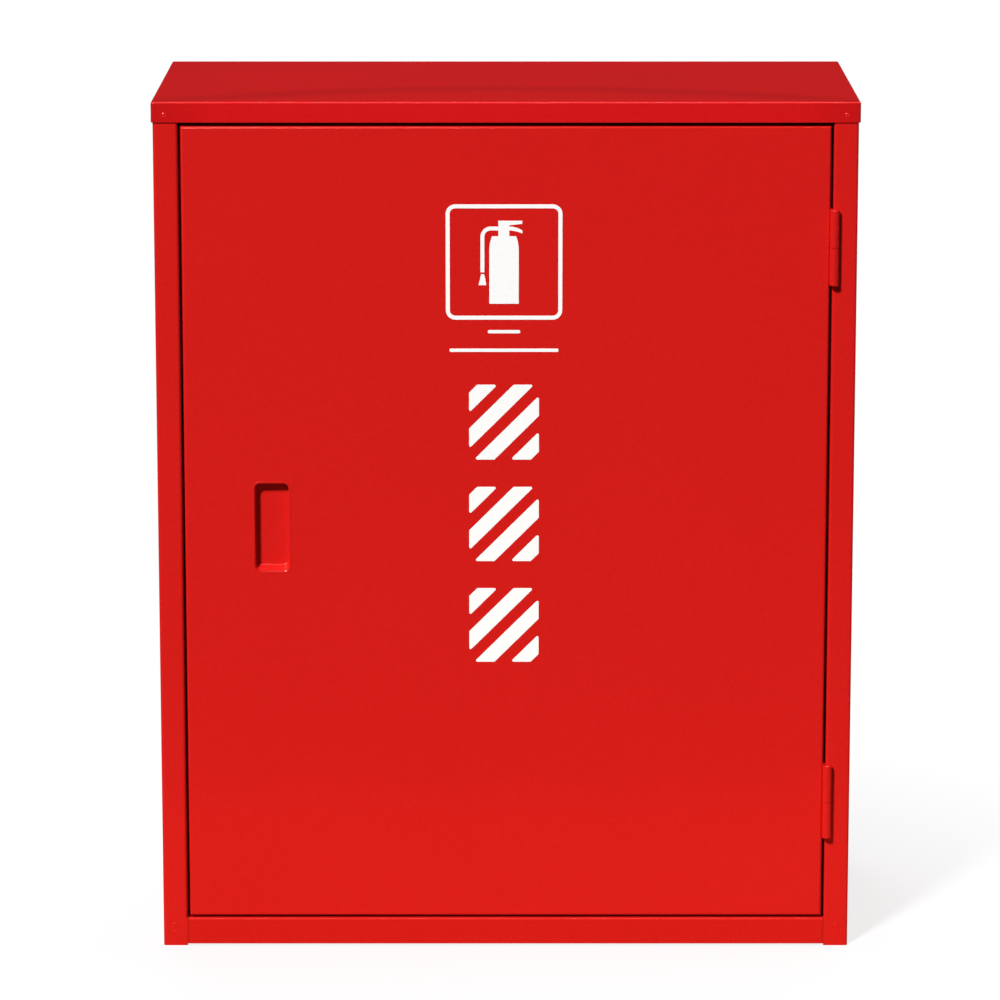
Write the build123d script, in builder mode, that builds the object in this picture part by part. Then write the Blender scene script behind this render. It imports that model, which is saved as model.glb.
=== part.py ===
from build123d import *
import os

# Floor-standing sheet steel cabinet for fire extinguishers, with one door hinged on the right.
# Millimetres. +X is to the right seen from the front, +Y towards the back, +Z up.
# The origin lies on the floor, in the middle of the overall size.

# Cabinet
cabinet_width = 540.0
cabinet_depth = 260.0
cabinet_height = 670.0
sheet = 1.2
bend_inside = 1.0
fit_gap = 0.3

# Lid and front frame
lid_flange = 16.0
lid_corner_radius = 1.6
stile_width = 19.0
stop_lip = 16.0
head_lip = 10.0
side_back_flange = 20.0
back_top_flange = 15.0
rail_height = 21.0
rail_lift = 1.5

# Door
door_thickness = 18.0
door_gap_side = 2.0
door_gap_top = 3.0
door_gap_bottom = 2.0
door_stop_gap = 2.0
door_back_lip = 14.0
stiffener_crown = 30.0
stiffener_flange = 12.0
stiffener_height = 12.0

# Finger pocket in the door
pocket_width = 26.0
pocket_height = 69.0
pocket_corner_radius = 4.0
pocket_depth = 8.5
pocket_ramp = 3.4
pocket_draft = 0.3
pocket_sheet = 1.0
pocket_rim = 10.0
pocket_inset = 67.5

# Lift-off hinges
knuckle_diameter = 7.0
knuckle_overlap = 0.5
knuckle_end_chamfer = 0.8
hinge_half = 29.3
hinge_inset = 93.5
hinge_play = 0.1
leaf_clearance = 0.5
leaf_reach = 14.0
pin_diameter = 4.0
pin_clearance = 0.05
pin_grip = 24.0
pin_reach = 22.0
pin_chamfer = 0.6
washer_thickness = 0.6
washer_diameter = 6.6

# Magnetic catch and buffers
catch_width = 8.6
catch_height = 34.0
catch_body_depth = 10.0
catch_ear = 7.0
catch_ear_thickness = 2.0
catch_window_gap = 0.2
pole_thickness = 1.2
pole_proud = 0.3
strike_width = 10.0
strike_height = 44.0
strike_thickness = 1.0
buffer_diameter = 8.0
buffer_inset = 60.0

# Levels and planes that the pieces share
bend_outside = bend_inside + sheet
knuckle_front = fit_gap + knuckle_diameter
overall_depth = knuckle_front + cabinet_depth + sheet
y_front = knuckle_front - overall_depth / 2
y_back = y_front + cabinet_depth
y_mid = (y_front + y_back) / 2
half_width = cabinet_width / 2
stile_edge = half_width - stile_width
inner_half = half_width - sheet
clear_half = inner_half - bend_inside - fit_gap
lid_underside = cabinet_height - sheet
body_top = lid_underside - bend_inside
head_level = cabinet_height - lid_flange
rail_top = rail_lift + rail_height
y_door_back = y_front + door_thickness
y_stop = y_door_back + door_stop_gap
y_skin = y_front + sheet
door_edge = stile_edge - door_gap_side
door_bottom = rail_top + door_gap_bottom
door_top = head_level - door_gap_top
door_middle = (door_bottom + door_top) / 2
door_tall = door_top - door_bottom

pocket_x = -door_edge + pocket_inset
catch_x = -stile_edge + bend_inside + (stop_lip - bend_inside) / 2
strike_x = -door_edge + sheet + strike_width / 2
pocket_edge_radius = 0.75 * sheet

# Hinge line
leaf_thickness = door_gap_side - leaf_clearance
axis_x = door_edge - knuckle_overlap + knuckle_diameter / 2
axis_y = y_front - fit_gap - knuckle_diameter / 2
hinge_levels = {"upper": door_top - hinge_inset, "lower": door_bottom + hinge_inset}


def facing_back(y, x=0.0, z=0.0):
    """A plane at depth y whose local x is +X and local y is +Z; a positive extrusion goes to the front."""
    return Plane(origin=(x, y, z), x_dir=(1, 0, 0), z_dir=(0, -1, 0))


def bent_strip(points, radii):
    """The section of a bent sheet that lies to the left of the line through the points."""
    with BuildSketch() as strip:
        with BuildLine():
            FilletPolyline(*points, radius=radii)
            offset(amount=sheet, side=Side.LEFT)
        make_face()
    return strip.sketch


def round_bends(builder, axis, position, radius):
    """Rounds the long edges that lie in one plane across an axis, as a press brake leaves them."""
    edges = builder.edges().filter_by_position(axis, position - 0.01, position + 0.01)
    fillet(edges.filter_by(lambda edge: edge.length > 4 * radius), radius)


# Side panels: side wall, front stile with the return that the door closes against, and back flange.
# The return and its lip stop at the floor pan and at the head channel.
stile_section = [
    (stile_edge - stop_lip, y_stop),
    (stile_edge, y_stop),
    (stile_edge, y_front),
    (half_width, y_front),
    (half_width, y_back),
    (half_width - side_back_flange, y_back),
]
plain_section = [(stile_edge, y_front)] + stile_section[3:]

stile_strip = bent_strip(stile_section, [bend_inside, bend_outside, bend_outside, bend_outside])
plain_strip = bent_strip(plain_section, [bend_outside, bend_outside])

with BuildPart() as right_side_panel:
    with BuildSketch(Plane.XY):
        add(plain_strip)
    extrude(amount=rail_top)
    with BuildSketch(Plane.XY.offset(rail_top)):
        add(stile_strip)
    extrude(amount=head_level - rail_top)
    with BuildSketch(Plane.XY.offset(head_level)):
        add(plain_strip)
    extrude(amount=body_top - head_level)
right_side_panel.part.label = "right_side_panel"

with BuildPart() as left_side_panel:
    mirror(right_side_panel.part, about=Plane.YZ)
    with BuildSketch(facing_back(y_stop, catch_x, door_middle)):
        Rectangle(catch_width + 2 * catch_window_gap, catch_height + 2 * catch_window_gap)
    extrude(amount=-sheet, mode=Mode.SUBTRACT)
left_side_panel.part.label = "left_side_panel"

# Back panel: flat, behind the side panels' flanges, with a flange under the lid.
back_section = [
    (y_back - sheet - back_top_flange, lid_underside),
    (y_back - sheet, lid_underside),
    (y_back - sheet, rail_lift),
]

with BuildPart() as back_panel:
    with BuildSketch(Plane.YZ.offset(-clear_half)):
        add(bent_strip(back_section[::-1], [bend_outside]))
    extrude(amount=2 * clear_half)
back_panel.part.label = "back_panel"

# Lid: a pan turned upside down over the body.
with BuildPart() as top_lid:
    with BuildSketch(Plane.XY.offset(head_level)):
        with Locations((0, y_mid)):
            RectangleRounded(cabinet_width + 2 * sheet, cabinet_depth + 2 * sheet, lid_corner_radius)
    extrude(amount=lid_flange)
    fillet(top_lid.faces().sort_by(Axis.Z)[-1].edges(), lid_corner_radius - 0.05)
    with BuildSketch(Plane.XY.offset(head_level)):
        with Locations((0, y_mid)):
            Rectangle(cabinet_width, cabinet_depth)
    extrude(amount=lid_flange - sheet, mode=Mode.SUBTRACT)
top_lid.part.label = "top_lid"

# Floor pan: the floor, with flanges turned down and a front rail that stands flush between the stiles.
y_floor_back = y_back - 2 * sheet

with BuildPart() as floor_pan:
    with BuildSketch(Plane.XY.offset(rail_lift)) as floor_outline:
        with BuildLine():
            Polyline(
                (0, y_front),
                (stile_edge, y_front),
                (stile_edge, y_skin),
                (inner_half, y_skin),
                (inner_half, y_floor_back),
                (0, y_floor_back),
            )
            mirror(about=Plane.YZ)
        make_face()
        fillet(floor_outline.vertices().group_by(Axis.X)[0], bend_outside + fit_gap)
        fillet(floor_outline.vertices().group_by(Axis.X)[-1], bend_outside + fit_gap)
    extrude(amount=rail_height)
    fillet(floor_pan.faces().sort_by(Axis.Z)[-1].edges(), bend_outside)
    with BuildSketch(Plane.XY.offset(rail_lift)):
        offset(floor_outline.sketch, amount=-sheet, kind=Kind.INTERSECTION)
    extrude(amount=rail_height - sheet, mode=Mode.SUBTRACT)
floor_pan.part.label = "floor_pan"

# Head channel: stands behind the lid's front flange and carries the lip over the door.
head_section = [
    (y_skin, body_top),
    (y_skin, head_level),
    (y_stop, head_level),
    (y_stop, head_level - head_lip),
]
lip_room = clear_half - (stile_edge - stop_lip) + fit_gap

with BuildPart() as head_channel:
    with BuildSketch(Plane.YZ.offset(-clear_half)):
        add(bent_strip(head_section, [bend_outside, bend_inside]))
    extrude(amount=2 * clear_half)
    for side in (-1, 1):
        with BuildSketch(Plane.XY.offset(head_level)):
            with Locations((side * (clear_half - lip_room / 2), y_stop)):
                Rectangle(lip_room, 2 * door_thickness)
        extrude(amount=-head_lip, mode=Mode.SUBTRACT)
head_channel.part.label = "head_channel"

# Door: a pan with returns on all four sides and a lip round its open back.
with BuildPart() as door_panel:
    with BuildSketch(facing_back(y_door_back, 0, door_middle)):
        Rectangle(2 * door_edge, door_tall)
    extrude(amount=door_thickness)
    round_bends(door_panel, Axis.Y, y_front, bend_outside)
    with BuildSketch(facing_back(y_door_back - sheet, 0, door_middle)):
        Rectangle(2 * (door_edge - sheet), door_tall - 2 * sheet)
    extrude(amount=door_thickness - 2 * sheet, mode=Mode.SUBTRACT)
    with BuildSketch(facing_back(y_door_back, 0, door_middle)):
        Rectangle(2 * (door_edge - door_back_lip), door_tall - 2 * door_back_lip)
    extrude(amount=sheet, mode=Mode.SUBTRACT)
    with BuildSketch(facing_back(y_skin, pocket_x, door_middle)):
        RectangleRounded(pocket_width, pocket_height, pocket_corner_radius)
    extrude(amount=sheet, mode=Mode.SUBTRACT)
    pocket_mouth = door_panel.faces().sort_by(Axis.Y)[0].inner_wires()[0]
    fillet(pocket_mouth.edges(), pocket_edge_radius)
door_panel.part.label = "door_panel"

# Finger pocket: a drafted cup with a sloping lower wall and rounded bends at its floor, on a rim welded
# behind the door's skin.
floor_width = pocket_width - 2 * pocket_draft
floor_height = pocket_height - pocket_ramp - pocket_draft
floor_middle = door_middle + (pocket_ramp - pocket_draft) / 2
y_pocket_floor = y_front + pocket_depth

with BuildPart() as handle_pocket:
    with BuildSketch(facing_back(y_skin, pocket_x, door_middle)):
        RectangleRounded(
            pocket_width + 2 * pocket_rim, pocket_height + 2 * pocket_rim, pocket_rim / 2
        )
    extrude(amount=-pocket_sheet)
    with BuildSketch(facing_back(y_skin, pocket_x, door_middle)):
        RectangleRounded(
            pocket_width + 2 * pocket_sheet,
            pocket_height + 2 * pocket_sheet,
            pocket_corner_radius + pocket_sheet,
        )
    with BuildSketch(facing_back(y_pocket_floor + pocket_sheet, pocket_x, floor_middle)):
        RectangleRounded(
            floor_width + 2 * pocket_sheet,
            floor_height + 2 * pocket_sheet,
            pocket_corner_radius + pocket_sheet,
        )
    loft()
    with BuildSketch(facing_back(y_skin, pocket_x, door_middle)):
        RectangleRounded(pocket_width, pocket_height, pocket_corner_radius)
    with BuildSketch(facing_back(y_pocket_floor, pocket_x, floor_middle)):
        RectangleRounded(floor_width, floor_height, pocket_corner_radius)
    loft(mode=Mode.SUBTRACT)
    floor_edges = handle_pocket.edges().filter_by_position(
        Axis.Y, y_pocket_floor - fit_gap, y_pocket_floor + fit_gap
    )
    fillet(floor_edges, bend_inside)
handle_pocket.part.label = "handle_pocket"

# Stiffener: a hat section down the middle of the door, between its returns.
stiffener_section = [
    (-stiffener_crown / 2 - stiffener_flange, y_skin),
    (-stiffener_crown / 2, y_skin),
    (-stiffener_crown / 2, y_skin + stiffener_height),
    (stiffener_crown / 2, y_skin + stiffener_height),
    (stiffener_crown / 2, y_skin),
    (stiffener_crown / 2 + stiffener_flange, y_skin),
]

with BuildPart() as door_stiffener:
    with BuildSketch(Plane.XY.offset(door_bottom + sheet)):
        add(bent_strip(stiffener_section, bend_inside))
    extrude(amount=door_tall - 2 * sheet)
door_stiffener.part.label = "door_stiffener"

# Lift-off hinges: the pin stands in the frame's half, and the door's half hangs over it on a washer.
def hinge_half_part(leaf_x, level, bore_radius, bore_depth, bore_from_top):
    """One knuckle with its leaf, which runs back through the gap beside the door."""
    with BuildPart() as half:
        with BuildSketch(Plane.XY.offset(level)):
            with Locations((axis_x, axis_y)):
                Circle(knuckle_diameter / 2)
        extrude(amount=hinge_half)
        far_end = half.edges().filter_by(GeomType.CIRCLE).sort_by(Axis.Z)[0 if bore_from_top else -1]
        chamfer(far_end, knuckle_end_chamfer)
        with BuildSketch(Plane.XY.offset(level)):
            with Locations((leaf_x, axis_y)):
                Rectangle(leaf_thickness, y_front + leaf_reach - axis_y, align=(Align.MIN, Align.MIN))
        extrude(amount=hinge_half)
        mouth = level + hinge_half if bore_from_top else level
        with BuildSketch(Plane.XY.offset(mouth)):
            with Locations((axis_x, axis_y)):
                Circle(bore_radius)
        extrude(amount=-bore_depth if bore_from_top else bore_depth, mode=Mode.SUBTRACT)
    return half.part


hinges = {}
for name, level in hinge_levels.items():
    pin_radius = pin_diameter / 2
    door_level = level + washer_thickness + hinge_play
    hinges[f"{name}_frame_hinge"] = hinge_half_part(
        stile_edge - leaf_thickness, level - hinge_half, pin_radius, pin_grip, True
    )
    hinges[f"{name}_door_hinge"] = hinge_half_part(
        door_edge, door_level, pin_radius + pin_clearance, pin_reach + pin_chamfer, False
    )
    with BuildPart() as pin:
        with BuildSketch(Plane.XY.offset(level - pin_grip)):
            with Locations((axis_x, axis_y)):
                Circle(pin_radius)
        extrude(amount=pin_grip + pin_reach)
        chamfer(pin.faces().sort_by(Axis.Z)[-1].edges(), pin_chamfer)
    hinges[f"{name}_hinge_pin"] = pin.part
    with BuildPart() as washer:
        with BuildSketch(Plane.XY.offset(level)):
            with Locations((axis_x, axis_y)):
                Circle(washer_diameter / 2)
                Circle(pin_radius + pin_clearance, mode=Mode.SUBTRACT)
        extrude(amount=washer_thickness)
    hinges[f"{name}_hinge_washer"] = washer.part

for name, piece in hinges.items():
    piece.label = name

# Magnetic catch: a case held in a window of the left lip, with two pole plates that meet the strike.
y_pole = y_door_back + strike_thickness + fit_gap
pole_height = catch_height - 2 * pole_thickness

with BuildPart() as catch_case:
    with BuildSketch(facing_back(y_pole + pole_proud, catch_x, door_middle)):
        Rectangle(catch_width, catch_height)
    extrude(amount=-(y_stop + sheet + catch_body_depth - y_pole - pole_proud))
    with BuildSketch(facing_back(y_stop + sheet, catch_x, door_middle)):
        Rectangle(catch_width, catch_height + 2 * catch_ear)
    extrude(amount=-catch_ear_thickness)
    with BuildSketch(facing_back(y_pole + pole_proud, catch_x, door_middle)):
        with GridLocations(catch_width / 2, 0, 2, 1):
            Rectangle(pole_thickness, pole_height)
    extrude(amount=-catch_body_depth, mode=Mode.SUBTRACT)
catch_case.part.label = "catch_case"

with BuildPart() as catch_poles:
    with BuildSketch(facing_back(y_pole, catch_x, door_middle)):
        with GridLocations(catch_width / 2, 0, 2, 1):
            Rectangle(pole_thickness, pole_height)
    extrude(amount=-(catch_body_depth + pole_proud))
catch_poles.part.label = "catch_poles"

with BuildPart() as strike_plate:
    with BuildSketch(facing_back(y_door_back, strike_x, door_middle)):
        RectangleRounded(strike_width, strike_height, strike_width / 4)
    extrude(amount=-strike_thickness)
strike_plate.part.label = "strike_plate"

# Rubber buffers on the left lip.
buffers = {}
for name, level in {"upper": door_top - buffer_inset, "lower": door_bottom + buffer_inset}.items():
    with BuildPart() as buffer_pad:
        with BuildSketch(facing_back(y_stop, catch_x, level)):
            Circle(buffer_diameter / 2)
        extrude(amount=door_stop_gap - fit_gap)
    buffers[f"{name}_buffer"] = buffer_pad.part
    buffer_pad.part.label = f"{name}_buffer"

pieces = [
    left_side_panel.part,
    right_side_panel.part,
    back_panel.part,
    top_lid.part,
    floor_pan.part,
    head_channel.part,
    door_panel.part,
    handle_pocket.part,
    door_stiffener.part,
    catch_case.part,
    catch_poles.part,
    strike_plate.part,
]
pieces += list(hinges.values()) + list(buffers.values())

os.makedirs("parts", exist_ok=True)
for piece in pieces:
    export_step(piece, f"parts/{piece.label}.step")
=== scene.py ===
from cmath import phase, rect
from math import cos, pi, radians, sin, tan

import bmesh
import bpy
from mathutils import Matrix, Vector


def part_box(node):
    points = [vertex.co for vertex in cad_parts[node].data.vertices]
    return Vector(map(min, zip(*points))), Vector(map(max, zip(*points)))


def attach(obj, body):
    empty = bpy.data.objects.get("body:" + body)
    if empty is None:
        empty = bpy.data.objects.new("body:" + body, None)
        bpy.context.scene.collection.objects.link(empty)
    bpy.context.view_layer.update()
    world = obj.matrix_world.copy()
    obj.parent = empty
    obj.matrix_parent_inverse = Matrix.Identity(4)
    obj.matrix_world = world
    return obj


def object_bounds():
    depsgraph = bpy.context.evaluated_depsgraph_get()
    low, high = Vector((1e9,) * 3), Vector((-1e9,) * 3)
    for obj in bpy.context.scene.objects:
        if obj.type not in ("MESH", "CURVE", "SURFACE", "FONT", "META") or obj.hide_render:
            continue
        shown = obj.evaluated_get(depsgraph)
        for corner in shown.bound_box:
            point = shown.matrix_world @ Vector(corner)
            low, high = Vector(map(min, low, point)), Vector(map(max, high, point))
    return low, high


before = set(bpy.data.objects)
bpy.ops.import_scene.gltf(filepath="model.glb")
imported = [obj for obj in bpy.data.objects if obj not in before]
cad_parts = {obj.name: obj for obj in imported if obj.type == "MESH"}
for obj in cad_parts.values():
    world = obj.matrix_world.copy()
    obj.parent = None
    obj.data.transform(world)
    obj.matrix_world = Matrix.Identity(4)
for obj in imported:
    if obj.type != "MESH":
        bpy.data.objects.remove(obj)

bpy.context.view_layer.update()
cad_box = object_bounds()

# Finishes of a fire extinguisher cabinet: coated sheet steel, its hinges and catch, the weld and
# screw detail, the marks printed on the door, and the stage it stands on. Lengths are in metres.

bl_info = {
    "name": "Extinguisher Cabinet Finish",
    "version": (1, 0, 0),
    "blender": (4, 5, 0),
    "location": "View3D > Sidebar > Cabinet",
    "description": "Coats, marks and stages a floor-standing extinguisher cabinet",
    "category": "Object",
}

MM = 0.001

# The finger pocket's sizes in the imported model: the rim behind the door, its corners and its bend
POCKET_RIM = 10 * MM
POCKET_CORNER = 4 * MM
POCKET_BEND = 0.9 * MM

# How much narrower than the body the rail is at each end, where it meets a stile
STILE_WIDTH = 19 * MM

# Where the spot welds stand: in from a side wall, up from the floor, up from the lid's lower edge
WELD_INSET = 9 * MM
STILE_WELD_LEVELS = (10.4 * MM, 16.4 * MM)
LID_WELD_LEVEL = 5.5 * MM

# The row of welds along the foot of each side wall, and the row up each back flange
FOOT_WELD_LEVEL = 11 * MM
FOOT_WELD_MARGIN = 35 * MM
FOOT_WELDS = 4
BACK_WELD_MARGIN = 30 * MM
BACK_WELDS = 9

# How far the screws and rivets stand from the ends of the catch and the strike plate, and how far
# their heads and the print reach into the face below
SCREW_INSET = 3.5 * MM
RIVET_INSET = 6 * MM
HEAD_SUNK = 0.1 * MM
PRINT_SUNK = 0.02 * MM

# Profiles from the rim to the middle, as shares of the radius and of the height
WELD_PROFILE = ((1.0, -0.3), (0.9, 0.35), (0.72, 1.0), (0.55, 0.8), (0.3, 0.35), (0.0, 0.25))
SCREW_PROFILE = ((1.0, 0.35), (0.93, 0.72), (0.80, 0.93), (0.62, 1.0))

# Angles over the dome of a rivet head, from its rim up, in radians
RIVET_ANGLES = (0, 0.35, 0.7, 1.05, 1.35)

# The pocket bead's profile from the outside in, as shares of its width and of its height
BEAD_PROFILE = ((0.0, -0.1), (0.25, 0.5), (0.5, 0.9), (0.75, 1.0), (1.0, 0.4), (1.1, -0.1))

# How many sides a round form has
WELD_SIDES = 20
HEAD_SIDES = 24

# Darkest and lightest colour of each finish but the coat and the print
STEEL_TONES = ((0.56, 0.57, 0.58, 1.0), (0.74, 0.74, 0.72, 1.0))
PLASTIC_TONES = ((0.012, 0.012, 0.013, 1.0), (0.030, 0.030, 0.031, 1.0))
RUBBER_TONES = ((0.010, 0.010, 0.010, 1.0), (0.034, 0.033, 0.032, 1.0))
FLOOR_TONES = ((0.78, 0.78, 0.78, 1.0), (0.82, 0.82, 0.82, 1.0))
WHITE = (1.0, 1.0, 1.0, 1.0)

# Each lamp's azimuth and elevation in degrees, and its distance, width and height in metres
KEY_PLACE = (-28.2, 39.0, 40.0, 5.0, 5.0)
RIGHT_PLACE = (106, 3, 3.0, 1.5, 0.9)
BACK_PLACE = (200, 3, 3.0, 1.5, 0.9)
OVERHEAD_PLACE = (175, 78, 3.0, 1.5, 1.5)
STRIP_PLACE = (0, 70, 3.0, 3.0, 0.2)

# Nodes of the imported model, by finish
LID_NODES = ["top_lid"]
RAIL_NODES = ["floor_pan"]
DOOR_NODES = [
    "door_panel",
    "handle_pocket",
    "door_stiffener",
    "upper_door_hinge",
    "lower_door_hinge",
]
BODY_NODES = [
    "left_side_panel",
    "right_side_panel",
    "back_panel",
    "head_channel",
    "upper_frame_hinge",
    "lower_frame_hinge",
    "upper_hinge_washer",
    "lower_hinge_washer",
]
STEEL_NODES = [
    "upper_hinge_pin",
    "lower_hinge_pin",
    "catch_poles",
    "strike_plate",
]
PLASTIC_NODES = ["catch_case"]
RUBBER_NODES = ["upper_buffer", "lower_buffer"]


# Settings

def length(name, description, default, low=0.0):
    """A property for a length in metres."""
    return bpy.props.FloatProperty(
        name=name, description=description, default=default, min=low, precision=5,
        subtype="DISTANCE", unit="LENGTH",
    )


def share(name, description, default):
    """A property for a plain number from 0 to 1."""
    return bpy.props.FloatProperty(
        name=name, description=description, default=default, min=0.0, max=1.0, subtype="FACTOR"
    )


def brightness(name, description, default):
    """A property for the strength of a light, which may be over 1."""
    return bpy.props.FloatProperty(name=name, description=description, default=default, min=0.0)


def count(name, description, default):
    """A property for a number of things."""
    return bpy.props.IntProperty(name=name, description=description, default=default, min=1)


def colour(name, description, default):
    """A property for a linear colour."""
    return bpy.props.FloatVectorProperty(
        name=name, description=description, default=default, min=0.0, max=1.0, subtype="COLOR"
    )


class CabinetCoat(bpy.types.PropertyGroup):
    """The stoved red coat of the sheet steel."""

    red: colour("Coat colour", "Colour of the coat on the door and body", (0.669, 0.0116, 0.0092))
    # The lid's colour is the coat's red with less green, painted shade that offsets the pale sheen
    # the lamps leave on the lid; the lid has the same paint as the door.
    lid_sheen_offset_red: colour("Lid colour", "Colour of the coat on the lid", (0.665, 0.0078, 0.0090))
    glint: share("Glint", "Strength of the lamp's reflection on the bends", 0.62)
    gloss: share("Roughness", "Roughness of the coat where it is clean", 0.165)
    peel_size: length("Peel size", "Width of one dimple of the coat's orange peel", 2.4 * MM)
    peel_height: length("Peel height", "Height of the orange peel", 0.014 * MM)
    grain_size: length("Grain size", "Width of the coat's fine speckle", 1.1 * MM)
    grain_tone: share("Grain tone", "How much the speckle changes the colour", 0.11)
    drift_size: length("Drift size", "Width of the slow change of tone over a sheet", 150 * MM)
    drift_tone: share("Drift tone", "How much the slow change alters the colour", 0.02)
    touch_reach: length("Touch reach", "How far from the finger pocket the smears reach", 90 * MM)
    edge_radius: length("Edge radius", "How far the coat rounds a cut edge", 0.3 * MM)
    sheet_wave: length("Sheet wave", "How far the flat sheets wander from a true plane", 0.14 * MM)
    # Painted reflection on the lid: the next four settings paint a darker soft arc across the lid,
    # and a lighter strip between it and the front edge, into the lid's colour. The crown in their
    # descriptions is this painted arc, not a shape of the sheet.
    painted_arc_rise: length("Painted arc rise", "How far behind the lid's front its crown begins", 83 * MM)
    painted_arc_width: length("Painted arc width", "Half the width of the line where the crown begins", 27 * MM)
    painted_arc_shade: share("Painted arc shade", "How much the crown's line darkens the lid", 0.15)
    painted_front_highlight: share("Painted front highlight", "How much brighter the lid is in front of its crown", 0.03)
    # The rail's colour is the coat's red made darker, a painted shade that offsets the brighter
    # light at the cabinet's foot; the rail has the same paint as the door.
    rail_shaded_red: colour("Rail colour", "Colour of the coat on the rail", (0.630, 0.0112, 0.0082))
    dull_glint: share("Dull glint", "The lamp's reflection on the rail and the welds", 0.30)
    # Painted shade on the rail: these two paint a dark line into the rail's colour at each end,
    # where it meets a stile. The filled seam in their descriptions is this painted shade.
    seam_shade_width: length("Seam shade width", "Width of the filled seam at each end of the rail", 1.0 * MM)
    painted_seam_shade: share("Painted seam shade", "How much the filled seam darkens the rail", 0.26)
    metal: share("Metal share", "How metallic the coat is", 0.10)
    grain_gloss: share("Grain gloss", "How much the speckle changes the roughness", 0.10)
    drift_gloss: share("Drift gloss", "How much the slow change alters the roughness", 0.06)
    smear_size: length("Smear size", "Width of one smear round the finger pocket", 9 * MM)
    smear_gloss: share("Smear gloss", "How much the smears change the roughness", 0.5)
    wave_size: length("Wave size", "Width of one wave of the flat sheets", 240 * MM)


class CabinetMarks(bpy.types.PropertyGroup):
    """The white marks printed on the door."""

    white: colour("Mark colour", "Colour of the printed marks", (0.90, 0.90, 0.90))
    film: length("Film thickness", "How far the print stands out from the coat", 0.09 * MM)
    middle: length("Column middle", "Where the marks stand, from the centre", -1.3 * MM, low=-1.0)
    frame_side: length("Frame side", "Outside width of the frame round the symbol", 89.6 * MM)
    frame_line: length("Frame line", "Width of the frame's line", 3.1 * MM)
    frame_radius: length("Frame radius", "Outside radius of the frame's corners", 7.3 * MM)
    frame_level: length("Frame level", "Height of the frame's centre over the floor", 546.2 * MM)
    stripe_width: length("Stripe width", "Width of the two thin stripes under the frame", 2.6 * MM)
    short_stripe: length("Short stripe", "Length of the upper thin stripe", 25 * MM)
    short_level: length("Short stripe level", "Height of the upper thin stripe", 492 * MM)
    long_stripe: length("Long stripe", "Length of the lower thin stripe", 84 * MM)
    long_level: length("Long stripe level", "Height of the lower thin stripe", 477.5 * MM)
    block_width: length("Block width", "Width of one hatched block", 54 * MM)
    block_height: length("Block height", "Height of one hatched block", 59 * MM)
    block_pitch: length("Block pitch", "Distance between the hatched blocks", 80.5 * MM)
    top_block: length("Top block level", "Height of the top block's centre", 421 * MM)
    blocks: count("Blocks", "How many hatched blocks there are", 3)
    block_stripes: count("Stripes in a block", "Slanting stripes in one block", 4)
    slant_start: share("Stripe start", "Where in its pitch a slanting stripe begins", 0.22)
    slant_share: share("Stripe share", "How much of its pitch a slanting stripe fills", 0.56)
    slant_radius: length("Stripe radius", "Radius of a slanting stripe's corners", 1.0 * MM)
    stripe_round: share("Stripe end", "How round a thin stripe's ends are", 0.9)


class CabinetFastenings(bpy.types.PropertyGroup):
    """Spot welds, screws and rivets."""

    weld_radius: length("Weld radius", "Radius of one spot weld mark", 2.1 * MM)
    weld_rise: length("Weld rise", "Height of the ring round a spot weld", 0.20 * MM)
    screw_radius: length("Screw head radius", "Radius of the catch's screw heads", 2.9 * MM)
    screw_head: length("Screw head height", "Height of the catch's screw heads", 1.5 * MM)
    rivet_radius: length("Rivet radius", "Radius of the strike plate's rivet heads", 2.2 * MM)
    rivet_head: share("Rivet head", "Height of a rivet head as a share of its radius", 0.4)
    bead_width: length("Pocket bead width", "Width of the bead round the finger pocket", 1.1 * MM)
    bead_rise: length("Pocket bead rise", "Height of the bead round the finger pocket", 0.20 * MM)


class CabinetStage(bpy.types.PropertyGroup):
    """The floor, the lamps and the camera."""

    floor_front: length("Floor in front", "How far the floor reaches before the door", 435 * MM)
    floor_side: length("Floor at the sides", "How far the floor reaches beside the cabinet", 1.3)
    floor_back: length("Floor behind", "How far the floor reaches behind the cabinet", 1.3)
    shade_start: length("Shade start", "Distance at which the floor begins to fade", 0.30)
    shade_end: length("Shade end", "Distance at which the floor is plain white to the camera", 0.57)
    shade_share: share("Plain share", "How much of the near floor is plain white", 0.78)
    aim: bpy.props.FloatVectorProperty(
        name="Camera aim", description="The point in the middle of the picture",
        default=(-4.4 * MM, 0.0, 333.0 * MM), subtype="XYZ", unit="LENGTH",
    )
    distance: length("Camera distance", "Distance from the camera to its aim", 4.0)
    tilt: bpy.props.FloatProperty(
        name="Camera tilt", description="How far the camera looks down", default=radians(11.8),
        subtype="ANGLE", unit="ROTATION",
    )
    lens: bpy.props.FloatProperty(
        name="Focal length", description="Focal length in millimetres", default=179.6,
        subtype="DISTANCE_CAMERA",
    )
    key: brightness("Key light", "Light from the key lamp on a surface square to it", 1.43)
    fill: share("Side light", "Light from each soft side lamp on a surface square to it", 0.40)
    overhead: share("Overhead light", "Light from the soft lamp above on a level surface", 0.64)
    strip: share("Strip light", "Strength of the long strip that the bends mirror", 0.27)
    bounce: colour("Floor bounce", "The floor's colour in the light it throws", (0.36, 0.30, 0.19))
    mirrored_floor: colour("Mirrored floor", "The floor in reflections", (0.23, 0.010, 0.004))
    sky: share("Surround light", "Light from all round", 0.06)
    mirrored: share("Mirrored surround", "How bright the surround is in reflections", 0.018)


SETTINGS = {
    "cabinet_coat": CabinetCoat,
    "cabinet_marks": CabinetMarks,
    "cabinet_fastenings": CabinetFastenings,
    "cabinet_stage": CabinetStage,
}


# Shader maths

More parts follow.
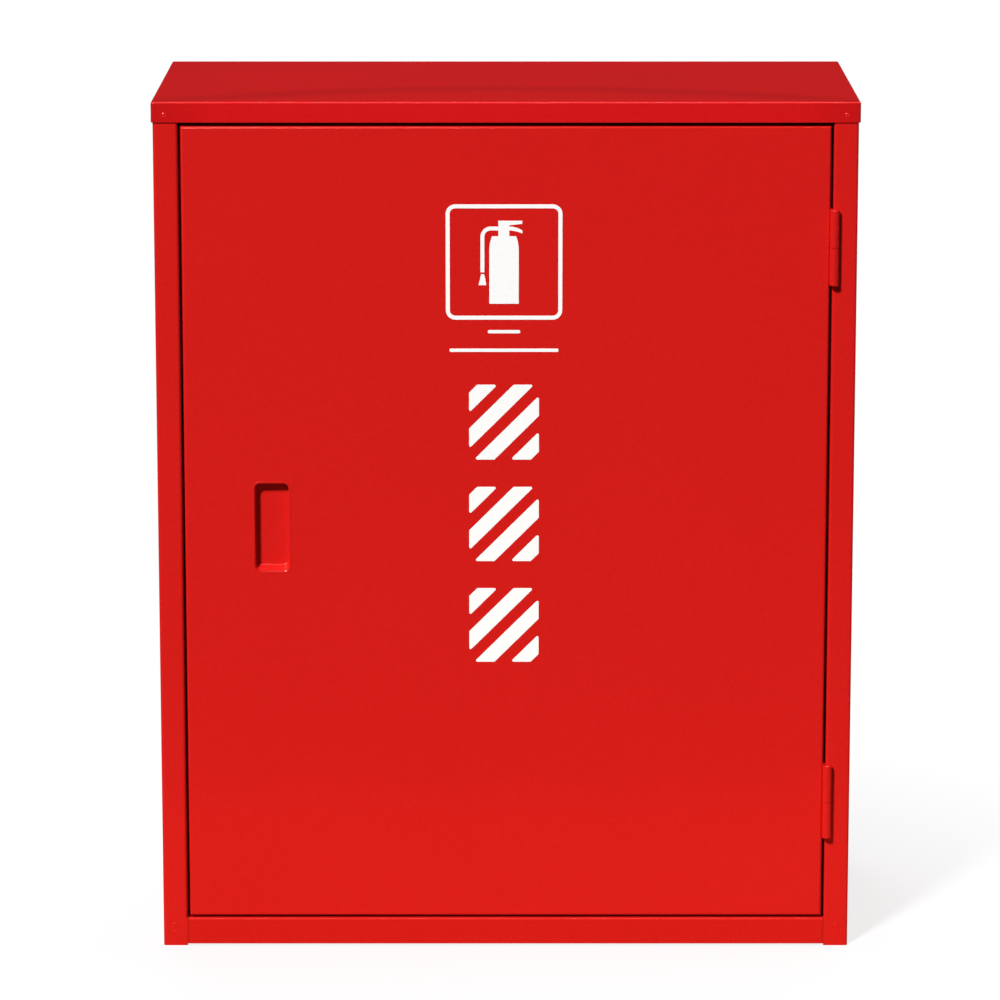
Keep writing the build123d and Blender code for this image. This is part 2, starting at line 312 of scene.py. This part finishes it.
class Wire:
    """A node's output, on which Python's arithmetic adds Math nodes."""

    def __init__(self, tree, socket):
        self.tree = tree
        self.socket = socket

    def maths(self, operation, first, second=0.0):
        """Adds one Math node."""
        return self.tree.node("ShaderNodeMath", {"operation": operation}, {0: first, 1: second})

    def __add__(self, other):
        return self.maths("ADD", self, other)

    def __sub__(self, other):
        return self.maths("SUBTRACT", self, other)

    def __rsub__(self, other):
        return self.maths("SUBTRACT", other, self)

    def __mul__(self, other):
        return self.maths("MULTIPLY", self, other)

    def __truediv__(self, other):
        return self.maths("DIVIDE", self, other)

    def magnitude(self):
        return self.maths("ABSOLUTE", self)

    def at_most(self, other):
        return self.maths("MINIMUM", self, other)

    def at_least(self, other):
        return self.maths("MAXIMUM", self, other)

    __radd__ = __add__
    __rmul__ = __mul__


class Nodes:
    """A node tree that is written as expressions."""

    def __init__(self, tree):
        self.tree = tree
        tree.nodes.clear()

    def node(self, kind, settings=None, sockets=None, output=0):
        """Adds a node: its settings first, then the values or links of its sockets."""
        made = self.tree.nodes.new(kind)
        for name, value in (settings or {}).items():
            setattr(made, name, value)
        for key, value in (sockets or {}).items():
            if isinstance(value, Wire):
                self.tree.links.new(value.socket, made.inputs[key])
            else:
                made.inputs[key].default_value = value
        return Wire(self, made.outputs[output]) if made.outputs else None

    def place(self):
        """Each point's place in the cabinet's frame."""
        return self.node("ShaderNodeTexCoord", output="Object")

    def axis(self, number):
        """One coordinate of each point's place."""
        return self.node("ShaderNodeSeparateXYZ", {}, {0: self.place()}, number)

    def noise(self, size, detail=2.0, stretch=None):
        """Noise round zero whose features are about one size wide."""
        place = self.place()
        if stretch:
            place = self.node(
                "ShaderNodeVectorMath", {"operation": "MULTIPLY"}, {0: place, 1: stretch}
            )
        made = self.node(
            "ShaderNodeTexNoise", {}, {"Vector": place, "Scale": 1.0 / size, "Detail": detail}
        )
        return made - 0.5

    def away_from(self, centre):
        """How far each point is from a place."""
        return self.node(
            "ShaderNodeVectorMath", {"operation": "DISTANCE"}, {0: self.place(), 1: centre}, "Value"
        )

    def mix(self, amount, low, high):
        """A colour between two colours."""
        return self.node("ShaderNodeMix", {"data_type": "RGBA"}, {0: amount, 6: low, 7: high}, 2)

    def bump(self, height, distance, normal=None):
        """The surface's direction tilted by a height, over an earlier tilt where one is given."""
        sockets = {"Height": height, "Distance": distance, "Strength": 1.0}
        if normal:
            sockets["Normal"] = normal
        return self.node("ShaderNodeBump", {}, sockets)


def new_material(name):
    """A material with an empty node tree."""
    material = bpy.data.materials.new(name)
    material.use_nodes = True
    return material, Nodes(material.node_tree)


def finish_surface(nodes, **sockets):
    """Ends a material in one Principled shader. Socket names are given with underscores."""
    named = {key.replace("_", " "): value for key, value in sockets.items()}
    shader = nodes.node("ShaderNodeBsdfPrincipled", {}, named)
    nodes.node("ShaderNodeOutputMaterial", {}, {"Surface": shader})


def tinted(rgb, tone):
    """A colour made darker or brighter, with its alpha."""
    return tuple(min(1.0, channel * tone) for channel in rgb) + (1.0,)


# Materials

def painted_arc_shade(nodes, half_width, front):
    """Painted reflection on the lid: painted shade along a soft arc, and a painted highlight in
    front of it.
    """
    coat = bpy.context.scene.cabinet_coat
    across = nodes.axis(0) / half_width
    before = coat.painted_arc_rise * (1.0 - across * across) - (nodes.axis(1) - front)
    # Painted shade along the arc
    line = (1.0 - before.magnitude() / coat.painted_arc_width).at_least(0.0)
    # Painted highlight between the arc and the lid's front edge
    strip = (before / coat.painted_arc_rise).at_least(0.0)
    return strip * coat.painted_front_highlight - line * coat.painted_arc_shade


def painted_seam_shade(nodes, half_width):
    """Painted shade at each end of the rail: a dark line where the rail meets the stile, in place of
    the shade in the joint.
    """
    coat = bpy.context.scene.cabinet_coat
    past = nodes.axis(0).magnitude() - (half_width - coat.seam_shade_width)
    soft_edge = 0.2 * coat.seam_shade_width
    return (past / soft_edge).at_least(0.0).at_most(1.0) * (-coat.painted_seam_shade)


def red_coat(name, paint=None, glint=None, touched_at=None, with_painted_arc=False, with_painted_seam_shade=False):
    """Stoved red coat: fine speckle, slow drift of tone, orange peel and a slightly wavy sheet, with
    painted reflection on the lid and painted shade at the rail's ends where asked.
    """
    coat = bpy.context.scene.cabinet_coat
    material, nodes = new_material(name)
    grain = nodes.noise(coat.grain_size, 1.0)
    drift = nodes.noise(coat.drift_size, 2.0)
    peel = nodes.noise(coat.peel_size, 1.0)
    deep = tinted(paint or coat.red, 0.5)
    bright = tinted(paint or coat.red, 1.5)
    shade = grain * (2 * coat.grain_tone) + drift * (2 * coat.drift_tone) + 0.5
    # Painted reflection on the lid: a shaded arc and a lighter strip in front of it
    if with_painted_arc:
        low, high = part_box("top_lid")
        shade = shade + painted_arc_shade(nodes, high.x, low.y)
    # Painted shade: a dark line at each end of the rail, where it meets a stile
    if with_painted_seam_shade:
        shade = shade + painted_seam_shade(nodes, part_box("right_side_panel")[1].x - STILE_WIDTH)
    roughness = coat.gloss + grain * coat.grain_gloss + drift * coat.drift_gloss
    if touched_at:
        smear = nodes.noise(coat.smear_size, 3.0, (1.0, 1.0, 0.45))
        nearness = (1.0 - nodes.away_from(touched_at) / coat.touch_reach).at_least(0.0)
        roughness = roughness + nearness * smear * coat.smear_gloss
    wave = nodes.bump(nodes.noise(coat.wave_size, 0.0), coat.sheet_wave)
    finish_surface(
        nodes,
        Base_Color=nodes.mix(shade, deep, bright),
        Metallic=coat.metal,
        Roughness=roughness,
        Specular_IOR_Level=glint or coat.glint,
        Normal=nodes.bump(peel, coat.peel_height, wave),
    )
    return material


def plated_steel():
    """Bright zinc plate with fine brushing and a cloudy tone."""
    material, nodes = new_material("Bright plated steel")
    brushing = nodes.noise(0.5 * MM, 2.0, (1.0, 1.0, 0.08))
    cloud = nodes.noise(7 * MM, 3.0)
    finish_surface(
        nodes,
        Base_Color=nodes.mix(cloud + 0.5, *STEEL_TONES),
        Metallic=0.55,
        Roughness=0.36 + brushing * 0.16 + cloud * 0.12,
        Normal=nodes.bump(brushing, 0.012 * MM),
    )
    return material


def moulded_plastic():
    """Dark moulded plastic with a fine spark-eroded grain."""
    material, nodes = new_material("Dark moulded plastic")
    grain = nodes.noise(0.45 * MM, 2.0)
    cloud = nodes.noise(12 * MM, 2.0)
    finish_surface(
        nodes,
        Base_Color=nodes.mix(cloud + 0.5, *PLASTIC_TONES),
        Roughness=0.48 + grain * 0.14,
        Normal=nodes.bump(grain, 0.03 * MM),
    )
    return material


def black_rubber():
    """Dull black rubber with a dusty bloom."""
    material, nodes = new_material("Black rubber")
    bloom = nodes.noise(2.5 * MM, 4.0)
    finish_surface(
        nodes,
        Base_Color=nodes.mix(bloom + 0.5, *RUBBER_TONES),
        Roughness=0.82 + bloom * 0.12,
        Normal=nodes.bump(bloom, 0.05 * MM),
    )
    return material


def white_print():
    """White printed film that follows the coat's orange peel."""
    coat = bpy.context.scene.cabinet_coat
    marks = bpy.context.scene.cabinet_marks
    material, nodes = new_material("White print")
    grain = nodes.noise(coat.grain_size, 2.0)
    peel = nodes.noise(coat.peel_size, 1.0)
    finish_surface(
        nodes,
        Base_Color=nodes.mix(grain + 0.5, tinted(marks.white, 0.94), tinted(marks.white, 1.06)),
        Roughness=0.42 + grain * 0.10,
        Specular_IOR_Level=0.25,
        Normal=nodes.bump(peel, 0.6 * coat.peel_height),
    )
    return material


# Mesh tools

def add_piece(name, mesh, material, body):
    """Makes a mesh, already in the cabinet's frame, a piece that rides on a body."""
    mesh.materials.clear()
    mesh.materials.append(material)
    piece = bpy.data.objects.new(name, mesh)
    bpy.context.scene.collection.objects.link(piece)
    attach(piece, body)


def mesh_from(shape, name, smooth=True):
    """Turns a bmesh into a mesh with its faces pointing out."""
    bmesh.ops.recalc_face_normals(shape, faces=shape.faces)
    for face in shape.faces:
        face.smooth = smooth
    mesh = bpy.data.meshes.new(name)
    shape.to_mesh(mesh)
    shape.free()
    return mesh


def facing(direction):
    """Two unit vectors across a direction, for a turned shape that stands along it."""
    across = Vector((0, 0, 1)) if abs(direction.z) < 0.9 else Vector((1, 0, 0))
    side = direction.cross(across).normalized()
    return side, direction.cross(side)


def turn(shape, profile, centre, direction, sides):
    """Adds a turned form from a profile of radii and heights, and gives back its rings."""
    side, up = facing(direction)
    angles = [2 * pi * step / sides for step in range(sides)]
    rings = []
    for radius, height in profile:
        hub = centre + direction * height
        if radius == 0:
            rings.append([shape.verts.new(hub)])
            continue
        places = [hub + side * radius * cos(angle) + up * radius * sin(angle) for angle in angles]
        rings.append([shape.verts.new(place) for place in places])
    for outer, inner in zip(rings, rings[1:]):
        for step in range(sides):
            following = (step + 1) % sides
            if len(inner) == 1:
                shape.faces.new((outer[step], outer[following], inner[0]))
            else:
                shape.faces.new((outer[step], outer[following], inner[following], inner[step]))
    return rings


# Outlines on the door, as lists of complex numbers: x to the right, and the imaginary part up

def rounded(corners, radius, steps=6):
    """An outline whose corners are arcs."""
    if radius == 0:
        return corners
    points = []
    for index, corner in enumerate(corners):
        before = corners[index - 1] - corner
        after = corners[(index + 1) % len(corners)] - corner
        before, after = before / abs(before), after / abs(after)
        half = abs(phase(after / before)) / 2
        middle = (before + after) / abs(before + after)
        hub = corner + middle * radius / sin(half)
        first = corner + before * radius / tan(half) - hub
        last = corner + after * radius / tan(half) - hub
        sweep = phase(last / first)
        points += [hub + first * rect(1, sweep * step / steps) for step in range(steps + 1)]
    return points


def box_outline(left, bottom, right, top, radius):
    """A rectangle with rounded corners."""
    corners = [
        complex(left, bottom), complex(right, bottom), complex(right, top), complex(left, top),
    ]
    return rounded(corners, radius)


def arc(hub, radius, start, end, steps=8):
    """Points on an arc, with its angles in degrees from the right."""
    angles = [radians(start + (end - start) * step / steps) for step in range(steps + 1)]
    return [hub + rect(radius, angle) for angle in angles]


def clipped(points, normal, limit):
    """The part of a convex outline that lies behind a line across the normal."""
    kept = []
    for index, point in enumerate(points):
        before = points[index - 1]
        past, was_past = ((p * normal.conjugate()).real - limit for p in (point, before))
        if (past > 0) != (was_past > 0):
            kept.append(before + (point - before) * was_past / (was_past - past))
        if past <= 0:
            kept.append(point)
    return kept


def print_marks(name, outlines, material):
    """Prints outlines on the door's front as a thin film; an outline inside another is a hole."""
    marks = bpy.context.scene.cabinet_marks
    door_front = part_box("door_panel")[0].y
    line = bpy.data.curves.new(name, "CURVE")
    line.dimensions = "2D"
    line.fill_mode = "BOTH"
    line.extrude = (marks.film + PRINT_SUNK) / 2
    for outline in outlines:
        spline = line.splines.new("POLY")
        spline.points.add(len(outline) - 1)
        for point, here in zip(spline.points, outline):
            point.co = (here.real, here.imag, 0.0, 1.0)
        spline.use_cyclic_u = True
    pattern = bpy.data.objects.new(name + "_pattern", line)
    mesh = bpy.data.meshes.new_from_object(pattern)
    bpy.data.objects.remove(pattern)
    bpy.data.curves.remove(line)
    for vertex in mesh.vertices:
        x, z, out = vertex.co
        vertex.co = (x, door_front - (marks.film - PRINT_SUNK) / 2 - out, z)
    shape = bmesh.new()
    shape.from_mesh(mesh)
    bpy.data.meshes.remove(mesh)
    bmesh.ops.remove_doubles(shape, verts=shape.verts, dist=0.002 * MM)
    add_piece(name, mesh_from(shape, name, smooth=False), material, "door")


# Pieces

def coat_nodes(names, material):
    """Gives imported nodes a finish."""
    for name in names:
        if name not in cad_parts:
            raise RuntimeError(f"the packed model has no {name}")
        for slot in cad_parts[name].material_slots:
            slot.material = material


def symbol_outlines(marks):
    """A hand extinguisher seen from the side, in millimetres round the middle of its frame."""
    foot = [-11.3 - 32.4j, 11.3 - 32.4j]
    right_shoulder = arc(-18.7 + 9.2j, 30.0, 0, 21.3)
    lever = [4 + 20.1j] + arc(4 + 1.2j, 23.3, 90, 64.3) + arc(4 + 9.6j, 18.0, 55.9, 90)
    head = [4 + 28.6j, 14 + 29.7j, 14 + 32.1j, -4.4 + 32.1j]
    hose_top = [-4.4 + 27.6j] + arc(-10.3 + 19.8j, 7.8, 90, 180) + [-18.1 - 7.9j]
    hose_foot = [-15.1 - 7.9j] + arc(-10.3 + 19.8j, 4.8, 180, 90) + [-4.4 + 24.6j, -4.4 + 20.1j]
    left_shoulder = arc(18.7 + 9.2j, 30.0, 158.7, 180)
    extinguisher = foot + right_shoulder + lever + head + hose_top + hose_foot + left_shoulder
    nozzle = [-19.5 - 17.9j, -13.6 - 17.9j, -15.2 - 9.4j, -17.7 - 9.4j]
    centre = complex(marks.middle, marks.frame_level)
    return [[centre + point * MM for point in shape] for shape in (extinguisher, nozzle)]


def frame_outlines(marks):
    """The rounded square frame round the symbol, as its outside and its inside."""
    outlines = []
    for inset in (0.0, marks.frame_line):
        half = marks.frame_side / 2 - inset
        left, right = marks.middle - half, marks.middle + half
        bottom, top = marks.frame_level - half, marks.frame_level + half
        outlines.append(box_outline(left, bottom, right, top, marks.frame_radius - inset))
    return outlines


def hatched_block(marks, level):
    """One block of slanting stripes."""
    corner = complex(marks.block_width, marks.block_height) / 2
    block = [-corner, corner.conjugate(), corner, -corner.conjugate()]
    slant = rect(1, radians(-45))
    reach = (corner.conjugate() * slant.conjugate()).real
    pitch = 2 * reach / marks.block_stripes
    outlines = []
    for stripe in range(marks.block_stripes):
        start = -reach + pitch * (stripe + marks.slant_start)
        end = start + pitch * marks.slant_share
        part = clipped(clipped(block, slant, end), -slant, -start)
        part = rounded(part, marks.slant_radius, 3)
        outlines.append([complex(marks.middle, level) + point for point in part])
    return outlines


def soften_edges(names, width):
    """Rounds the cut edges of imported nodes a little, and keeps the shading of their bends even."""
    for name in names:
        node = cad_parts[name]
        weld = node.modifiers.new("joined_corners", "WELD")
        weld.merge_threshold = 0.001 * MM
        bevel = node.modifiers.new("soft_edges", "BEVEL")
        bevel.width = width
        bevel.segments = 2
        bevel.limit_method = "ANGLE"
        bevel.angle_limit = radians(40)
        bevel.harden_normals = True
        even = node.modifiers.new("even_normals", "WEIGHTED_NORMAL")
        even.weight = 100


def spread(start, end, number):
    """Evenly spread values from one end to the other."""
    return [start + (end - start) * step / (number - 1) for step in range(number)]


def weld_places():
    """Where the sheets are spot welded: a point on the outside and the way it faces."""
    left, right = (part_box(f"{side}_side_panel") for side in ("left", "right"))
    lid_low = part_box("top_lid")[0]
    front, back = left[0].y, left[1].y
    forward, backward = Vector((0, -1, 0)), Vector((0, 1, 0))
    places = []
    for sign, wall in ((-1, left[0].x), (1, right[1].x)):
        stile = wall - sign * WELD_INSET
        sideways = Vector((sign, 0, 0))
        for level in STILE_WELD_LEVELS:
            places.append((Vector((stile, front, level)), forward))
        places.append((Vector((stile, lid_low.y, lid_low.z + LID_WELD_LEVEL)), forward))
        for depth in spread(front + FOOT_WELD_MARGIN, back - FOOT_WELD_MARGIN, FOOT_WELDS):
            places.append((Vector((wall, depth, FOOT_WELD_LEVEL)), sideways))
        for level in spread(BACK_WELD_MARGIN, lid_low.z - BACK_WELD_MARGIN, BACK_WELDS):
            places.append((Vector((stile, back, level)), backward))
    return places


def pocket_mouth():
    """The finger pocket's mouth in the door's face, as its lowest and highest corner."""
    low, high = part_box("handle_pocket")
    rim = complex(POCKET_RIM, POCKET_RIM)
    return complex(low.x, low.z) + rim, complex(high.x, high.z) - rim


def screw_head(shape, centre, direction, radius, height):
    """A pan head with a cross recess that narrows as it goes in."""
    profile = [(radius, -HEAD_SUNK)] + [(x * radius, y * height) for x, y in SCREW_PROFILE]
    rim = turn(shape, profile, centre, direction, HEAD_SIDES)[-1]
    side, up = facing(direction)
    arm, half_arm, depth, narrowing = 0.50 * radius, 0.12 * radius, 0.65 * height, 0.8
    cross = []
    for ahead, aside in ((side, up), (up, -side), (-side, -up), (-up, side)):
        for along, across in ((arm, -half_arm), (arm, half_arm), (half_arm, half_arm)):
            cross.append(ahead * along + aside * across)
    face, floor = centre + direction * height, centre + direction * (height - depth)
    top = [shape.verts.new(face + corner) for corner in cross]
    low = [shape.verts.new(floor + corner * narrowing) for corner in cross]
    edges = [shape.edges.get(pair) for pair in zip(rim, rim[1:] + rim[:1])]
    edges += [shape.edges.new(pair) for pair in zip(top, top[1:] + top[:1])]
    bmesh.ops.triangle_fill(shape, use_beauty=True, edges=edges)
    for index in range(len(top)):
        following = (index + 1) % len(top)
        shape.faces.new((top[index], top[following], low[following], low[index]))
    shape.faces.new(low)


def stage_floor():
    """A pale floor that keeps the cabinet's shadow and fades to white away from it."""
    stage = bpy.context.scene.cabinet_stage
    low, high = cad_box
    sides = (low.x - stage.floor_side, high.x + stage.floor_side)
    ends = (low.y - stage.floor_front, high.y + stage.floor_back)
    corners = [(x, y, 0.0) for y in ends for x in sides]
    mesh = bpy.data.meshes.new("floor")
    mesh.from_pydata(corners, [], [(0, 1, 3, 2)])
    floor = bpy.data.objects.new("floor", mesh)
    bpy.context.scene.collection.objects.link(floor)
    material, nodes = new_material("Pale floor")
    beyond = nodes.away_from((0.0, 0.0, 0.0)) - stage.shade_start
    fade = (beyond / (stage.shade_end - stage.shade_start)).at_least(0.0).at_most(1.0)
    seen = nodes.node("ShaderNodeLightPath", output="Is Camera Ray")
    mirrored = nodes.node("ShaderNodeLightPath", output="Is Glossy Ray")
    mottle = nodes.noise(300 * MM, 2.0)
    pale = nodes.mix(mottle + 0.5, *FLOOR_TONES)
    thrown = nodes.mix(mirrored, tinted(stage.bounce, 1.0), tinted(stage.mirrored_floor, 1.0))
    matt = nodes.node("ShaderNodeBsdfDiffuse", {}, {"Color": nodes.mix(seen, thrown, pale)})
    white = nodes.node("ShaderNodeEmission", {}, {"Color": WHITE, "Strength": 1.0})
    amount = seen * (stage.shade_share + fade * (1.0 - stage.shade_share))
    surface = nodes.node("ShaderNodeMixShader", {}, {0: amount, 1: matt, 2: white})
    nodes.node("ShaderNodeOutputMaterial", {}, {"Surface": surface})
    mesh.materials.append(material)


def stage_surround():
    """White to the camera, dim to the object."""
    stage = bpy.context.scene.cabinet_stage
    world = bpy.data.worlds.new("surround")
    world.use_nodes = True
    bpy.context.scene.world = world
    nodes = Nodes(world.node_tree)
    seen = nodes.node("ShaderNodeLightPath", output="Is Camera Ray")
    through = nodes.node("ShaderNodeLightPath", output="Is Transmission Ray")
    mirrored = nodes.node("ShaderNodeLightPath", output="Is Glossy Ray")
    lit = stage.sky + mirrored * (stage.mirrored - stage.sky)
    strength = (lit + seen + through).at_most(1.0)
    light = nodes.node("ShaderNodeBackground", {}, {"Color": WHITE, "Strength": strength})
    nodes.node("ShaderNodeOutputWorld", {}, {"Surface": light})


def add_lamp(name, place, level, aim):
    """A soft lamp. level is the light that it gives a surface square to it at the aim."""
    azimuth, elevation, distance, width, height = place
    lamp = bpy.data.lights.new(name, "AREA")
    lamp.shape = "RECTANGLE"
    lamp.size = width
    lamp.size_y = height
    lamp.energy = level * pi * pi * distance * distance
    around, up = radians(azimuth), radians(elevation)
    away = Vector((sin(around) * cos(up), -cos(around) * cos(up), sin(up)))
    holder = bpy.data.objects.new(name, lamp)
    holder.location = aim + away * distance
    holder.rotation_euler = away.to_track_quat("Z", "Y").to_euler()
    bpy.context.scene.collection.objects.link(holder)
    return holder


def stage_lamps():
    """A key lamp high in front on the left, three soft lamps, and a strip that the bends mirror."""
    stage = bpy.context.scene.cabinet_stage
    middle = (cad_box[0] + cad_box[1]) / 2
    add_lamp("key_lamp", KEY_PLACE, stage.key, middle)
    soft_lamps = [
        add_lamp("right_lamp", RIGHT_PLACE, stage.fill, middle),
        add_lamp("back_lamp", BACK_PLACE, stage.fill, middle),
        add_lamp("overhead_lamp", OVERHEAD_PLACE, stage.overhead, middle),
    ]
    for lamp in soft_lamps:
        lamp.visible_camera = False
        lamp.visible_glossy = False
    strip = add_lamp("strip_lamp", STRIP_PLACE, stage.strip, middle)
    strip.visible_camera = False
    strip.visible_diffuse = False


def stage_camera():
    """The photograph's view: from the front, looking slightly down."""
    stage = bpy.context.scene.cabinet_stage
    camera = bpy.data.cameras.new("camera")
    camera.lens = stage.lens
    camera.sensor_width = 36.0
    holder = bpy.data.objects.new("camera", camera)
    back = Vector((0.0, -cos(stage.tilt), sin(stage.tilt)))
    holder.location = Vector(stage.aim) + back * stage.distance
    holder.rotation_euler = (pi / 2 - stage.tilt, 0.0, 0.0)
    bpy.context.scene.collection.objects.link(holder)
    bpy.context.scene.camera = holder


# Operators

class CABINET_OT_coat_sheets(bpy.types.Operator):
    """Coats the lid, the body, the rail and the door"""

    bl_idname = "cabinet.coat_sheets"
    bl_label = "Coat the Sheets"

    def execute(self, context):
        coat = context.scene.cabinet_coat
        low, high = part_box("handle_pocket")
        coat_nodes(BODY_NODES, red_coat("Red coat on the body"))
        coat_nodes(DOOR_NODES, red_coat("Red coat on the door", touched_at=(low + high) / 2))
        # The lid gets a copy of the coat with less green to offset its sheen, and carries the
        # painted reflection arc
        coat_nodes(LID_NODES, red_coat("Red coat on the lid", coat.lid_sheen_offset_red, with_painted_arc=True))
        # The rail gets a darker copy of the coat as painted shade, with painted shade at its ends
        rail_coat = red_coat("Red coat on the rail", coat.rail_shaded_red, coat.dull_glint, with_painted_seam_shade=True)
        coat_nodes(RAIL_NODES, rail_coat)
        soften_edges(BODY_NODES + RAIL_NODES + DOOR_NODES + LID_NODES, coat.edge_radius)
        return {"FINISHED"}


class CABINET_OT_finish_fittings(bpy.types.Operator):
    """Finishes the hinge pins, the catch, the strike plate and the buffers"""

    bl_idname = "cabinet.finish_fittings"
    bl_label = "Finish the Fittings"

    def execute(self, context):
        coat_nodes(STEEL_NODES, plated_steel())
        coat_nodes(PLASTIC_NODES, moulded_plastic())
        coat_nodes(RUBBER_NODES, black_rubber())
        return {"FINISHED"}


class CABINET_OT_add_spot_welds(bpy.types.Operator):
    """Adds the marks of the spot welds that hold the sheets together"""

    bl_idname = "cabinet.add_spot_welds"
    bl_label = "Add Spot Welds"

    def execute(self, context):
        fastenings = context.scene.cabinet_fastenings
        radius, rise = fastenings.weld_radius, fastenings.weld_rise
        profile = [(x * radius, y * rise) for x, y in WELD_PROFILE]
        shape = bmesh.new()
        for centre, direction in weld_places():
            turn(shape, profile, centre, direction, WELD_SIDES)
        mesh = mesh_from(shape, "spot_welds")
        dull = red_coat("Red coat on the welds", glint=context.scene.cabinet_coat.dull_glint)
        add_piece("spot_welds", mesh, dull, "cabinet")
        return {"FINISHED"}


class CABINET_OT_add_pocket_bead(bpy.types.Operator):
    """Adds the low bead that the press leaves round the finger pocket"""

    bl_idname = "cabinet.add_pocket_bead"
    bl_label = "Add the Pocket's Bead"

    def execute(self, context):
        fastenings = context.scene.cabinet_fastenings
        low, high = pocket_mouth()
        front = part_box("door_panel")[0].y
        rings = []
        shape = bmesh.new()
        for along, rise in BEAD_PROFILE:
            grown = fastenings.bead_width * (1.0 - along) + POCKET_BEND
            outline = box_outline(
                low.real - grown, low.imag - grown, high.real + grown, high.imag + grown,
                POCKET_CORNER + grown,
            )
            y = front - rise * fastenings.bead_rise
            rings.append([shape.verts.new((point.real, y, point.imag)) for point in outline])
        for outer, inner in zip(rings, rings[1:]):
            for index, corner in enumerate(outer):
                following = (index + 1) % len(outer)
                shape.faces.new((corner, outer[following], inner[following], inner[index]))
        mesh = mesh_from(shape, "pocket_bead")
        add_piece("pocket_bead", mesh, red_coat("Red coat on the bead"), "door")
        return {"FINISHED"}


class CABINET_OT_add_screws(bpy.types.Operator):
    """Adds the screws of the catch and the rivets of the strike plate"""

    bl_idname = "cabinet.add_screws"
    bl_label = "Add Screws and Rivets"

    def execute(self, context):
        fastenings = context.scene.cabinet_fastenings
        steel = plated_steel()
        inward = Vector((0, 1, 0))
        low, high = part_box("catch_case")
        middle = (low + high) / 2
        shape = bmesh.new()
        for level in (low.z + SCREW_INSET, high.z - SCREW_INSET):
            centre = Vector((middle.x, middle.y, level))
            screw_head(shape, centre, inward, fastenings.screw_radius, fastenings.screw_head)
        mesh = mesh_from(shape, "catch_screws", smooth=False)
        add_piece("catch_screws", mesh, steel, "cabinet")
        low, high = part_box("strike_plate")
        radius = fastenings.rivet_radius
        height = radius * fastenings.rivet_head
        dome = [(radius * cos(angle), height * sin(angle)) for angle in RIVET_ANGLES]
        dome = [(radius, -HEAD_SUNK)] + dome + [(0.0, height)]
        shape = bmesh.new()
        for level in (low.z + RIVET_INSET, high.z - RIVET_INSET):
            centre = Vector(((low.x + high.x) / 2, high.y, level))
            turn(shape, dome, centre, inward, HEAD_SIDES)
        add_piece("strike_rivets", mesh_from(shape, "strike_rivets"), steel, "door")
        return {"FINISHED"}


class CABINET_OT_print_marks(bpy.types.Operator):
    """Prints the white symbol, its frame and the plain stripes on the door"""

    bl_idname = "cabinet.print_marks"
    bl_label = "Print the Door's Marks"

    def execute(self, context):
        marks = context.scene.cabinet_marks
        white = white_print()
        print_marks("symbol_frame", frame_outlines(marks), white)
        print_marks("extinguisher_symbol", symbol_outlines(marks), white)
        stripes = []
        half = marks.stripe_width / 2
        short, long = (marks.short_level, marks.short_stripe), (marks.long_level, marks.long_stripe)
        for level, width in (short, long):
            low, high = level - half, level + half
            left, right = marks.middle - width / 2, marks.middle + width / 2
            stripes.append(box_outline(left, low, right, high, marks.stripe_round * half))
        print_marks("thin_stripes", stripes, white)
        for number in range(marks.blocks):
            level = marks.top_block - number * marks.block_pitch
            print_marks(f"hatched_block_{number + 1}", hatched_block(marks, level), white)
        return {"FINISHED"}


class CABINET_OT_build_stage(bpy.types.Operator):
    """Builds the floor, the surround, the lamps and the camera"""

    bl_idname = "cabinet.build_stage"
    bl_label = "Build the Stage"

    def execute(self, context):
        context.scene.view_settings.view_transform = "Standard"
        stage_floor()
        stage_surround()
        stage_lamps()
        stage_camera()
        return {"FINISHED"}


STEPS = [
    CABINET_OT_coat_sheets,
    CABINET_OT_finish_fittings,
    CABINET_OT_add_spot_welds,
    CABINET_OT_add_pocket_bead,
    CABINET_OT_add_screws,
    CABINET_OT_print_marks,
    CABINET_OT_build_stage,
]


class CABINET_PT_finish(bpy.types.Panel):
    """The cabinet's settings and the steps that finish it"""

    bl_idname = "CABINET_PT_finish"
    bl_label = "Extinguisher Cabinet"
    bl_space_type = "VIEW_3D"
    bl_region_type = "UI"
    bl_category = "Cabinet"

    def draw(self, context):
        for name, group in SETTINGS.items():
            box = self.layout.box()
            settings = getattr(context.scene, name)
            for field in group.__annotations__:
                box.prop(settings, field)
        for step in STEPS:
            self.layout.operator(step.bl_idname)


def register():
    for name, group in SETTINGS.items():
        bpy.utils.register_class(group)
        setattr(bpy.types.Scene, name, bpy.props.PointerProperty(type=group))
    for kind in STEPS + [CABINET_PT_finish]:
        bpy.utils.register_class(kind)


def unregister():
    for kind in [CABINET_PT_finish] + STEPS[::-1]:
        bpy.utils.unregister_class(kind)
    for name, group in SETTINGS.items():
        delattr(bpy.types.Scene, name)
        bpy.utils.unregister_class(group)


def main():
    """Registers the add-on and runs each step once."""
    register()
    for step in STEPS:
        area, action = step.bl_idname.split(".")
        getattr(getattr(bpy.ops, area), action)()
    bpy.context.view_layer.update()


if __name__ == "__main__":
    main()
